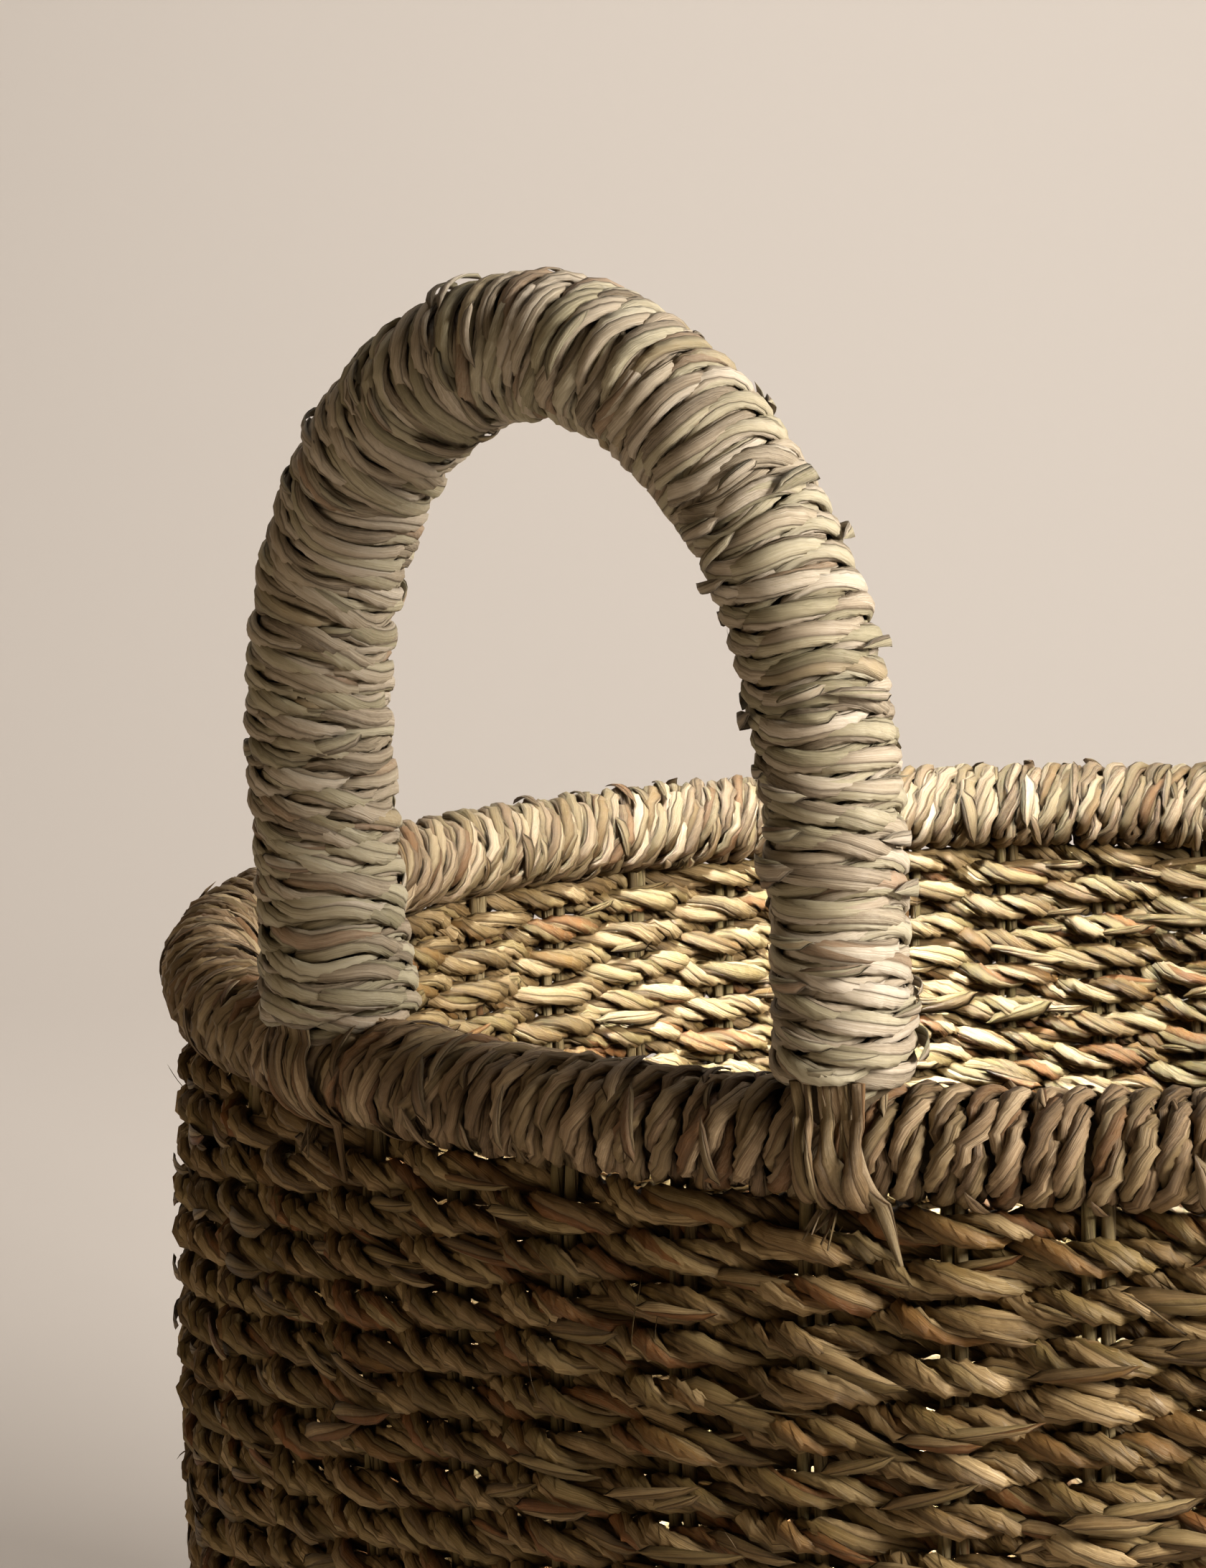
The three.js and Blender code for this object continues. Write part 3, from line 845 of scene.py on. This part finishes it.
# %% Many blades on a surface
def scatter_blades(name, count, seed, length, width, bend, tilt, turn, place):
    """Blades on a surface; place gives position, outward and along for two random numbers."""
    t = GeometryTree(
        name, Count=count, Seed=seed, Length=length, Width=width, Bend=bend, Material=None,
    )
    points = t.add("GeometryNodePoints", {}, {"Count": t.given("Count")})
    seed_in = t.given("Seed")
    u, v = t.chance(0.0, 1.0, seed_in), t.chance(0.0, 1.0, seed_in + 1)
    position, outward, along = place(t, u, v)
    side = outward.cross(along)
    spin = t.chance(-turn, turn, seed_in + 2) + turn * 0.3
    heading = along * spin.cos() - side * spin.sin()
    rise = t.chance(-tilt, tilt, seed_in + 3)
    normal = (outward + heading * rise).unit()
    points = t.moved(points, position)
    points = t.store(points, "leaf", t.chance(0.0, 900.0, seed_in + 4))
    turned_to = {"Primary Axis": normal, "Secondary Axis": heading}
    settings = {"primary_axis": "Z", "secondary_axis": "X"}
    rotation = t.add("FunctionNodeAxesToRotation", settings, turned_to)
    blade = blade_shape(t, t.given("Length"), t.given("Width"), t.given("Bend"))
    size = t.chance(0.55, 1.25, seed_in + 5)
    scale = t.vector(size, size * t.chance(0.6, 1.2, seed_in + 6), size)
    inputs = {"Points": points, "Instance": blade, "Rotation": rotation, "Scale": scale}
    t.finish(t.add("GeometryNodeInstanceOnPoints", {}, inputs))
    return t


# %% [markdown]
# ### Where the blades go
# A blade needs a point on the cord, the way out from it and the way along it. Sampling the
# finished mesh could give these, but the mesh is heavy and its folds point every way. The
# wall, the rim and the handles are all drawn from formulas, so the same formulas place the
# blades, a little above or below the cord's surface.

# %% Places on the wall, the handles and the rim
def on_wall(offset):
    """Places on the rows of weft: outside for a positive offset, inside for a negative one."""
    def place(t, u, v):
        angle = u * math.tau
        height = WEFT_FROM + 3 * MM + v * (WEFT_TO - WEFT_FROM - 6 * MM)
        unit = t.outward(angle)
        wave = ((angle - STAKE_TURN) * (STAKES / 2) + (v * ROWS).floor() * math.pi).cos()
        radius = wall_radius(height) + wave * WEFT_SWING * 0.6 + offset
        along = t.vector(0.0, 0.0, 1.0).cross(unit)
        outward = unit * (1 if offset > 0 else -1)
        return unit * radius + t.vector(0.0, 0.0, height), outward, along

    return place


def on_handle(offset):
    def place(t, u, v):
        middle = handle_point(t, v)
        lead = (handle_point(t, v + 0.01) - handle_point(t, v - 0.01)).unit()
        across = t.vector(*HANDLE_ACROSS)
        inward = lead.cross(across)
        turn = u * math.tau
        outward = across * turn.cos() + inward * turn.sin()
        return middle + outward * (HANDLE_TUBE + offset), outward, lead.cross(outward)

    return place


def on_rim(offset):
    def place(t, u, v):
        angle, turn = u * math.tau, v * math.tau
        unit = t.outward(angle)
        outward = unit * turn.cos() + t.vector(0.0, 0.0, turn.sin())
        middle = unit * RIM_RADIUS + t.vector(0.0, 0.0, RIM_Z)
        round_tube = t.vector(0.0, 0.0, turn.cos()) - unit * turn.sin()
        return middle + outward * (RIM_TUBE + offset), outward, round_tube

    return place


# %% Scatter the leaf ends and the hairs
def blades(name, material, place, count, seed, length, width, bend=0.8, tilt=0.12, turn=0.35):
    """Run one scatter; length, width and bend are in millimetres."""
    tree = scatter_blades(name, count, seed, length * MM, width * MM, bend * MM, tilt, turn, place)
    return run_tree(tree, name, Material=material)


wall_leaves = [
    blades("wall_leaf_ends", WALL_GRASS, on_wall(3.9 * MM), 1500, 21, 21, 4.6, bend=1.6),
    blades("wall_leaf_ends_inside", WALL_GRASS, on_wall(-3.9 * MM), 900, 31, 21, 4.6, bend=1.6),
    blades("wall_hairs", WALL_GRASS, on_wall(4.5 * MM), 320, 41, 16, 0.5, tilt=0.7, turn=1.2),
]
rim_leaves = [
    blades("rim_leaf_ends", RIM_GRASS, on_rim(-2.2 * MM), 380, 51, 14, 3.6, bend=2.1, tilt=0.06),
]
handle_leaves = []
for side, seed in (("right", 61), ("left", 71)):
    ends = blades(
        f"handle_{side}_leaf_ends", HANDLE_GRASS, on_handle(-2.2 * MM), 110, seed, 13, 3.8,
        bend=2.8, tilt=0.02, turn=0.25,
    )
    hairs = blades(
        f"handle_{side}_hairs", HANDLE_GRASS, on_handle(-0.8 * MM), 18, seed + 5, 9, 0.25,
        tilt=0.45, turn=0.8,
    )
    handle_leaves += [ends, hairs]
for piece in handle_leaves[2:]:
    piece.data.transform(HALF_TURN)

# %% [markdown]
# ## Foot strips
# Each foot of a handle is bound to the rim with a few raw flat strips. They run over the
# outside of the rim and end in a frayed tuft, and one long strip runs on into the wall. They
# could be cloth planes, but they are stiff and don't hang. They are few and all differ, so
# a node tree saves nothing: each strip is a short flat tube in mesh code, along a line over
# the rim's own round section, with its width, drift, lift and twist from a fixed seed.

# %% Foot strips
STRIP_GRASS = grass_material(
    "raw_strip", dark=(0.07, 0.04, 0.018), middle=(0.26, 0.18, 0.098),
    light=(0.58, 0.46, 0.31), rust=(0.32, 0.17, 0.075),
    rust_share=0.2, roughness=0.5, bump=1.0,
)
STRIP_SIDES = 8


def empty_store():
    return {"verts": [], "faces": [], "strand": [], "leaf": []}


def flat_tube(store, line, outs, widths, thickness, leaf):
    """Add one flat strip along a line of points to a store of vertices and faces."""
    sides = STRIP_SIDES
    first = len(store["verts"])
    travelled = 0.0
    for i, (place, out, width) in enumerate(zip(line, outs, widths)):
        lead = (line[min(i + 1, len(line) - 1)] - line[max(i - 1, 0)]).normalized()
        side = out.cross(lead).normalized()
        up = lead.cross(side)
        if i:
            travelled += (place - line[i - 1]).length
        for k in range(sides):
            corner = math.tau * k / sides
            ridge = 1 + 0.35 * math.sin(corner * 3 + i * 0.2)
            across = side * (math.cos(corner) * width / 2)
            store["verts"].append(place + across + up * (math.sin(corner) * thickness / 2 * ridge))
            store["strand"].append((math.cos(corner), math.sin(corner), travelled))
            store["leaf"].append(leaf)
    for i in range(len(line) - 1):
        for k in range(sides):
            a, b = first + i * sides + k, first + i * sides + (k + 1) % sides
            store["faces"].append((a, b, b + sides, a + sides))
    store["faces"].append(tuple(first + k for k in reversed(range(sides))))
    store["faces"].append(tuple(first + (len(line) - 1) * sides + k for k in range(sides)))


def mesh_from_store(name, store, material):
    """One mesh object from the strips in a store."""
    mesh = bpy.data.meshes.new(name)
    mesh.from_pydata(store["verts"], [], store["faces"])
    mesh.attributes.new("strand", "FLOAT_VECTOR", "POINT")
    mesh.attributes["strand"].data.foreach_set("vector", [c for s in store["strand"] for c in s])
    mesh.attributes.new("leaf", "FLOAT", "POINT")
    mesh.attributes["leaf"].data.foreach_set("value", store["leaf"])
    mesh.polygons.foreach_set("use_smooth", [True] * len(mesh.polygons))
    mesh.materials.append(material)
    made = bpy.data.objects.new(name, mesh)
    bpy.context.scene.collection.objects.link(made)
    print(f"{name}: {len(mesh.polygons)} faces")
    return made


# %% The line of a strip
FOOT_OUT, FOOT_UP = 5.5 * MM, 3.5 * MM  # where a strip starts, off the rim's round section
WALL_CLEAR = 7 * MM  # from the middle of the weave to a strip that hangs on it


def lashing_line(turn, offset, drift, last_angle, drop, lift, steps=20):
    """From the foot of the handle over the outside of the rim, then down or in under it."""
    line, outs = [], []
    over = 0.7 if drop else 1.0
    for i in range(steps):
        share = i / (steps - 1)
        round_rim = min(1.0, share / over)
        bend = 0.95 - (0.95 - last_angle) * round_rim
        tube = RIM_TUBE + lift * (0.35 + 0.65 * math.sin(math.pi * round_rim))
        radius = RIM_RADIUS + tube * math.cos(bend)
        z = RIM_Z + tube * math.sin(bend)
        out_r, out_z = math.cos(bend), math.sin(bend)
        foot = max(0.0, 1 - round_rim / 0.2)
        radius += FOOT_OUT * foot
        z += FOOT_UP * foot
        if share > over:
            hang = (share - over) / (1 - over)
            z -= drop * hang
            radius += (wall_radius(z) + WALL_CLEAR - radius) * min(1.0, hang * 1.4)
            out_r, out_z = 1.0, 0.0
        angle = turn + (offset + drift * share**1.5) / RIM_RADIUS
        line.append(Vector((radius * math.cos(angle), radius * math.sin(angle), z)))
        outs.append(Vector((out_r * math.cos(angle), out_r * math.sin(angle), out_z)))
    return line, outs


def add_tuft(store, draw, root, out, amount, leaf):
    """A few torn fibres that stand off the end of a strip."""
    side = Vector((-out.y, out.x, 0.0))
    for fibre in range(amount):
        reach = draw.uniform(2.0, 5.5) * MM
        aim = Vector((0, 0, -0.8)) + side * draw.uniform(-1.3, 1.3) + out * draw.uniform(0.1, 1.2)
        foot = root + side * (draw.uniform(-1.2, 1.2) * MM)
        line = [foot + aim * (reach * j / 4) for j in range(5)]
        widths = [w * MM for w in (1.1, 1.0, 0.8, 0.5, 0.15)]
        flat_tube(store, line, [out] * 5, widths, 0.4 * MM, leaf + fibre)


# %% One foot's strips
STRIPS = 7
LONG_STRIP_POINTS = 22


def make_lashing(name, node_name, seed):
    """Seven strips over the rim, two with a torn end, and a long one into the wall."""
    low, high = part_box(node_name)
    turn = math.atan2(low.y + high.y, low.x + high.x)
    draw = random.Random(seed)
    store = empty_store()
    for k in range(STRIPS):
        offset = (-5.4 + 1.7 * k + draw.uniform(-0.8, 0.8)) * MM
        drift = draw.uniform(-4.0, 5.0) * MM
        lift = draw.uniform(0.3, 3.2) * MM
        line, outs = lashing_line(turn, offset, drift, draw.uniform(-1.35, -0.95), 0.0, lift)
        base = draw.uniform(1.5, 3.4) * MM
        swell, middle = draw.uniform(0.0, 1.2), draw.uniform(0.45, 0.85)
        twist = draw.uniform(-0.9, 0.9)
        widths = []
        for i, out in enumerate(outs):
            share = i / (len(line) - 1)
            ragged = 1 + 0.18 * draw.uniform(-1, 1)
            swollen = 1 + swell * math.exp(-(((share - middle) / 0.15) ** 2))
            widths.append(base * ragged * swollen)
            lead = (line[min(i + 1, len(line) - 1)] - line[max(i - 1, 0)]).normalized()
            outs[i] = Matrix.Rotation(twist * math.sin(share * 7 + k), 3, lead) @ out
        flat_tube(store, line, outs, widths, 1.3 * MM, k * 7.0 + seed)
        if k in (1, STRIPS - 2):
            add_tuft(store, draw, line[-2] + outs[-2] * 1.5 * MM, outs[-3], 6, k * 11.0)
    drift = draw.uniform(9, 13) * MM
    points = LONG_STRIP_POINTS
    line, outs = lashing_line(turn, 3 * MM, drift, -0.9, 12 * MM, 1.4 * MM, points)
    last = points - 1
    widths = [3.6 * MM * (1 - 0.7 * max(0.0, i / last - 0.75) / 0.25) for i in range(points)]
    flat_tube(store, line, outs, widths, 0.9 * MM, 3.0 + seed)
    return mesh_from_store(name, store, STRIP_GRASS)


FEET = ("left_front", "left_back", "right_front", "right_back")
lashings = []
for number, place_name in enumerate(FEET):
    node_name = "foot_lashing_" + place_name
    lashings.append((make_lashing("foot_strips_" + place_name, node_name, 81 + number), node_name))

# %% [markdown]
# ## The base
# The stakes turn in under the basket and rings of the same cord are woven round them. A flat
# disc with a bump would do for a side that is hardly seen, but the rings are cheap, because
# the cord group makes them too. Near the middle there is no room for every stake, so fewer
# are kept there: 48, then 24, then 12, each in its own run of the tree.

# %% The base tree
BASE_MIDDLE = (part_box("base_weft_under")[0].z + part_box("base_weft_upper")[1].z) / 2
BASE_PITCH = 4.9 * MM  # from one ring to the next
BASE_SWING = 1.5 * MM  # how far a ring goes over and under the stakes
RING_NUMBERS = 1000  # rings are numbered from a thousand times their first radius


def make_base_tree():
    t = GeometryTree(
        "base_rings", First=0.1, Rings=10, Spokes=48, Points=288, Seed=3, Material=None,
    )
    count = t.given("Points")
    ring = t.add("GeometryNodeCurvePrimitiveCircle", {}, {"Resolution": count, "Radius": 1.0})
    rings, number = t.copies(ring, t.given("Rings"))
    rings = t.store(rings, "row", number + t.given("First") * RING_NUMBERS)
    angle = t.add("GeometryNodeSplineParameter").also("Index") / count * math.tau
    unit = t.outward(angle)
    row = t.attribute("row")
    ring_radius = t.given("First") + (row - t.given("First") * RING_NUMBERS) * BASE_PITCH
    wave = (angle - STAKE_TURN) * t.given("Spokes") / 2 + row.round() * math.pi
    swing = wave.cos() * BASE_SWING
    radius = ring_radius + t.noise(unit, 4.0, 1.0, w=row * 1.3) * 0.7 * MM
    line = t.moved(rings, unit * radius + t.vector(0.0, 0.0, 1.0) * (swing + BASE_MIDDLE))
    line = t.store(line, "out", t.vector(0.0, 0.0, -1.0), "FLOAT_VECTOR")
    cord = add_cord(
        t, line, Lay=30 * MM, Ply=1.75 * MM, Spread=1.25 * MM, Press=0.85, Unevenness=0.25,
        Wander=2.0, Sides=6, Seed=t.given("Seed"), Material=t.given("Material"),
    )
    t.finish(cord)
    return t


BASE = make_base_tree()
base_rings = []
for name, first, rings, stakes_kept, points in (
    ("base_middle", 12.0, 8, 12, 120),
    ("base_inner", 51.2, 10, 24, 192),
    ("base_outer", 100.2, 22, 48, 288),
):
    base_rings.append(run_tree(
        BASE, name, First=first * MM, Rings=rings, Spokes=stakes_kept, Points=points,
        Material=WALL_GRASS,
    ))


# %% Stakes under the base
BASE_EDGE = 206  # millimetres from the middle to where the stakes turn up
INNER_ENDS = (2, 49, 98)  # millimetres from the middle to where a pair of stakes stops
SPOKE_POINTS = 7


def make_spokes():
    """Each pair of stakes on its way in: one in four to the middle, the others part way."""
    store = empty_store()
    for k in range(STAKES * 2):
        pair, twin = divmod(k, 2)
        stop = INNER_ENDS[2] if pair % 2 else (INNER_ENDS[1] if pair % 4 else INNER_ENDS[0])
        angle = pair / STAKES * math.tau + STAKE_TURN
        out = Vector((math.cos(angle), math.sin(angle), 0))
        side = Vector((-out.y, out.x, 0)) * ((twin - 0.5) * 3.2 * MM)
        line = []
        for i in range(SPOKE_POINTS):
            reach = (stop + (BASE_EDGE - stop) * i / (SPOKE_POINTS - 1)) * MM
            line.append(out * reach + side + Vector((0, 0, BASE_MIDDLE)))
        widths = [2.8 * MM] * SPOKE_POINTS
        flat_tube(store, line, [UP] * SPOKE_POINTS, widths, 2.0 * MM, k * 3.0)
    return mesh_from_store("base_stalks", store, STALK_GRASS)


spokes = make_spokes()

# %% [markdown]
# ## Hand the pieces over
# The imported model and the woven pieces are one object: each piece is parented to the body it
# moves with and wears its own finish, and the solids it takes the place of are hidden. The
# basket has one body and no joints, so every piece rides on the root. The solids could be
# hidden by hand; here each piece is listed with the solids it stands for. The hoop, the cores
# and the rods have nothing in their place, so they stay.

# %% Ride and replace
for piece, courses in bands:
    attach(piece, "root")
    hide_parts(*courses)
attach(stakes, "root")
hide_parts("stake_cage")
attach(rim, "root")
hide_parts("rim_wrap")
for piece, node_name in ((handle_right, "handle_right_wrap"), (handle_left, "handle_left_wrap")):
    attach(piece, "root")
    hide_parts(node_name)
for piece, node_name in lashings:
    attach(piece, "root")
    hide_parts(node_name)
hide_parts("base_weft_upper")
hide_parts("base_weft_under")
for piece in (*base_rings, *wall_leaves):
    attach(piece, "root")
for piece in rim_leaves:
    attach(piece, "root")
for piece in handle_leaves:
    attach(piece, "root")
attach(spokes, "root")
print(f"handed over: {len(bands)} bands of wall, {len(base_rings)} runs of base,",
      f"{len(lashings)} feet, the stakes, the rim, two handles and their loose ends")

# %% [markdown]
# ## The floor and backdrop
# The basket stands on one wide sheet of pale paper that curves up behind it, so that no
# line shows where the floor ends. A floor and a separate wall would be simpler, but their
# corner would cross the picture. The sheet is a strip of faces along a line of two flats
# and a quarter circle, turned to face the camera.

# %% Stage
VIEW_TURN = math.radians(-58.86)  # the camera's turn round the basket
FLOOR_REACH, BACKDROP_AT, BACKDROP_HIGH, HALF_WIDE = 6.0, 2.6, 5.0, 8.0  # metres
BACKDROP_BEND, BEND_STEPS = 1.2, 24


def make_stage():
    material = bpy.data.materials.new("studio_paper")
    material.use_nodes = True
    shader = material.node_tree.nodes["Principled BSDF"]
    shader.inputs["Base Color"].default_value = (0.715, 0.665, 0.622, 1)
    shader.inputs["Roughness"].default_value = 0.9
    bend = BACKDROP_BEND
    floor_end = BACKDROP_AT - bend
    outline = [(-FLOOR_REACH, 0.0), (floor_end, 0.0)]
    for i in range(1, BEND_STEPS + 1):
        turn = math.pi / 2 * i / BEND_STEPS
        outline.append((floor_end + bend * math.sin(turn), bend - bend * math.cos(turn)))
    outline.append((BACKDROP_AT, BACKDROP_HIGH))
    verts, faces = [], []
    for depth, z in outline:
        verts += [(-HALF_WIDE, depth, z), (HALF_WIDE, depth, z)]
    for i in range(len(outline) - 1):
        a = 2 * i
        faces.append((a, a + 1, a + 3, a + 2))
    mesh = bpy.data.meshes.new("studio_sweep")
    mesh.from_pydata(verts, [], faces)
    mesh.polygons.foreach_set("use_smooth", [True] * len(mesh.polygons))
    mesh.materials.append(material)
    sweep = bpy.data.objects.new("studio_sweep", mesh)
    bpy.context.scene.collection.objects.link(sweep)
    mesh.transform(Matrix.Rotation(VIEW_TURN, 4, "Z"))
    print("the stage has", len(faces), "faces")


make_stage()

# %% [markdown]
# ## The camera
# The camera looks slightly down on the near handle with a long lens, from about five rim
# radii away. It could be aimed with a Track To constraint, but then its tilt would hang on
# a target. Its place is set in rim radii instead, and its aim by three small angles, so the
# view keeps its framing if the basket is made larger.

# %% Camera
VIEW_DISTANCE = 4.9645 * RIM_RADIUS
VIEW_ABOVE_RIM = 0.9434 * RIM_RADIUS
VIEW_YAW = 0.1130
VIEW_PITCH = -0.1514
VIEW_ROLL = -0.0160
camera_data = bpy.data.cameras.new("camera")
camera_data.lens = 102.2
camera_data.clip_start = 0.01
camera = bpy.data.objects.new("camera", camera_data)
bpy.context.scene.collection.objects.link(camera)
place = Vector((0, -VIEW_DISTANCE, RIM_Z + VIEW_ABOVE_RIM))
turned = Matrix.Rotation(VIEW_TURN, 4, "Z")
aim = Matrix.Rotation(VIEW_YAW, 4, "Z") @ Matrix.Rotation(math.pi / 2 + VIEW_PITCH, 4, "X")
aim = aim @ Matrix.Rotation(VIEW_ROLL, 4, "Z")
camera.matrix_world = turned @ Matrix.Translation(place) @ aim
bpy.context.scene.camera = camera
print(f"the camera stands {VIEW_DISTANCE:.3f} m away, {place.z:.3f} m above the floor")

# %% [markdown]
# ## The lights
# One soft box at the right and in front is the main light, so the wall's cords are lit from
# the side and their shadows show the twist. A weak narrow one reaches down inside, a warm
# one lifts the left side, and a wide one washes the backdrop. A picture of a real room
# round the scene could light it too, but a few soft boxes are easier to read and change.

# %% Lights
def area_light(name, place, target, width, height, power, colour, spread=180):
    """A soft box, placed in the camera's own directions: right, away and up."""
    data = bpy.data.lights.new(name, "AREA")
    data.shape = "RECTANGLE"
    data.size = width
    data.size_y = height
    data.energy = power
    data.spread = math.radians(spread)
    data.color = colour
    light = bpy.data.objects.new(name, data)
    bpy.context.scene.collection.objects.link(light)
    spot = turned @ Vector(place)
    aim_at = turned @ Vector(target)
    facing = (aim_at - spot).to_track_quat("-Z", "Y").to_matrix().to_4x4()
    light.matrix_world = Matrix.Translation(spot) @ facing
    return light


area_light(
    "key", (1.06, -0.62, 0.80), (0, 0, 0.33),
    width=0.55, height=0.42, power=36, colour=(1.0, 0.95, 0.885),
)
area_light(
    "inside_fill", (0.2, -0.6, 1.45), (-0.07, 0.20, 0.12),
    width=0.12, height=0.12, power=0.92, colour=(0.80, 0.90, 1.0), spread=12,
)
area_light(
    "left_bounce", (-1.3, -1.0, 0.4), (-0.1, 0.0, 0.22),
    width=1.0, height=0.8, power=2.5, colour=(1.0, 0.78, 0.52),
)
area_light(
    "back_wash", (0.05, 0.9, 2.4), (-0.05, 2.6, 0.68),
    width=1.6, height=1.2, power=31.8, colour=(1.0, 0.975, 0.94),
)
world = bpy.data.worlds.new("studio")
world.use_nodes = True
world.node_tree.nodes["Background"].inputs["Color"].default_value = (1.0, 0.80, 0.56, 1)
world.node_tree.nodes["Background"].inputs["Strength"].default_value = 0.08
bpy.context.scene.world = world
bpy.context.scene.view_settings.view_transform = "Standard"
bpy.context.scene.view_settings.look = "Medium High Contrast"
